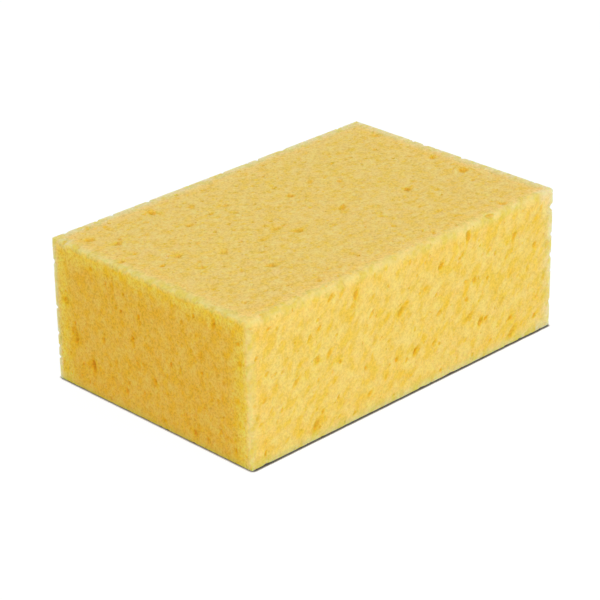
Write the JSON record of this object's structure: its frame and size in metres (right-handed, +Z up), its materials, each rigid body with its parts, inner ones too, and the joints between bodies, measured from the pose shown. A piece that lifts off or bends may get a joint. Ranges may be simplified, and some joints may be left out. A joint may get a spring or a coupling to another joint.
{
  "type": "grout sponge",
  "caption": "Hand-sized rectangular block of yellow open-cell foam with square sawn faces and open pores, for wiping grout off tiles.",
  "frame": {"origin": "middle of the base face that the sponge rests on", "axes": "+X along the length, +Y across the width, +Z up out of the top face"},
  "size_m": [0.17, 0.11, 0.061],
  "materials": {
    "foam": "matte open-cell foam, warm yellow"
  },
  "bodies": {
    "root": {"sponge_block": "foam"}
  },
  "joints": []
}
